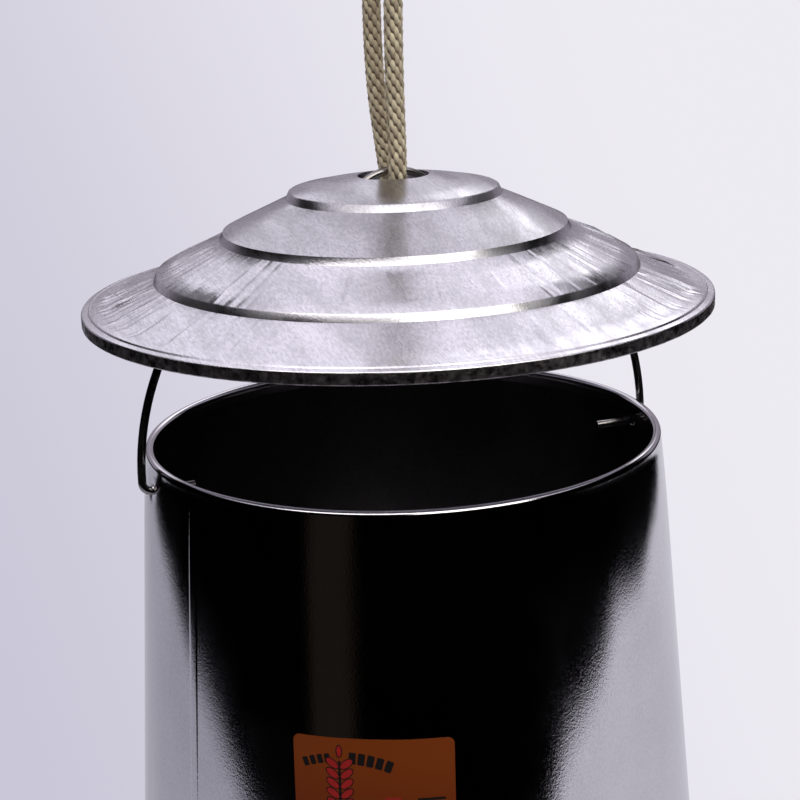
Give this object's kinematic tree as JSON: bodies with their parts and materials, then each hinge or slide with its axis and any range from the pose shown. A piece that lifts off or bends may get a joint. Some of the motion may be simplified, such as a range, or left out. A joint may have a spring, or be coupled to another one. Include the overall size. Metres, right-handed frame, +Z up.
{
  "type": "hanging poultry feeder",
  "caption": "Hanging galvanized feeder: tapered hopper with stepped conical cover, wire bail on a rope sling and ceiling hook, and a height-adjustable feed pan.",
  "frame": {"origin": "centre of the ceiling plate's top face, where the feeder hangs from the ceiling", "axes": "+Z up, +X along the line through the two bail ears, +Y towards the first bracket"},
  "size_m": [0.419, 0.419, 0.6876],
  "materials": {
    "galvanized_sheet": "hot-dip galvanized sheet, satin with a soft mirror",
    "zinc_hardware": "bright zinc plated",
    "bail_wire": "dark galvanized wire",
    "braided_rope": "diamond braided cord, tan",
    "label_film": "printed film, satin"
  },
  "bodies": {
    "ceiling": {"ceiling_plate": "zinc_hardware", "ceiling_hook": "zinc_hardware"},
    "sling": {"rope_sling": "braided_rope", "rope_knot": "braided_rope"},
    "cover": {"cover": "galvanized_sheet"},
    "bail": {"bail": "bail_wire"},
    "hopper": {"hopper_tube": "galvanized_sheet", "front_label": "label_film", "carriage_bolt_1": "zinc_hardware", "carriage_bolt_2": "zinc_hardware", "carriage_bolt_3": "zinc_hardware", "bolt_washer_1": "zinc_hardware", "bolt_washer_2": "zinc_hardware", "bolt_washer_3": "zinc_hardware"},
    "pan": {"feed_pan": "galvanized_sheet", "feed_cone": "galvanized_sheet", "cone_rivets": "zinc_hardware", "bracket_rivets": "zinc_hardware", "hanger_bracket_1": "galvanized_sheet", "hanger_bracket_2": "galvanized_sheet", "hanger_bracket_3": "galvanized_sheet"},
    "nut_1": {"wing_nut_1": "zinc_hardware"},
    "nut_2": {"wing_nut_2": "zinc_hardware"},
    "nut_3": {"wing_nut_3": "zinc_hardware"}
  },
  "joints": [
    {"name": "sling_swing", "type": "hinge", "parent": "ceiling", "child": "sling", "pos_m": [0, 0, -0.04499], "axis": [0.866, 0.5, 0], "range_deg": [-12, 12]},
    {"name": "cover_lift", "type": "slide", "parent": "sling", "child": "cover", "axis": [0, 0, 1], "range_m": [0, 0.1]},
    {"name": "feeder_sway", "type": "hinge", "parent": "sling", "child": "bail", "pos_m": [0, 0, -0.20999], "axis": [1, 0, 0], "range_deg": [-8, 8]},
    {"name": "bail_pivot", "type": "hinge", "parent": "bail", "child": "hopper", "pos_m": [0, 0, -0.35497], "axis": [1, 0, 0], "range_deg": [-25, 25]},
    {"name": "feed_level", "type": "slide", "parent": "hopper", "child": "pan", "axis": [0, 0, 1], "range_m": [-0.012, 0.012]},
    {"name": "wing_nut_turn_1", "type": "hinge", "parent": "hopper", "child": "nut_1", "pos_m": [0, 0.1575, -0.63297], "axis": [0, 1, 0], "continuous": true},
    {"name": "wing_nut_turn_2", "type": "hinge", "parent": "hopper", "child": "nut_2", "pos_m": [-0.1364, -0.07875, -0.63297], "axis": [-0.866, -0.5, 0], "continuous": true},
    {"name": "wing_nut_turn_3", "type": "hinge", "parent": "hopper", "child": "nut_3", "pos_m": [0.1364, -0.07875, -0.63297], "axis": [0.866, -0.5, 0], "continuous": true}
  ]
}
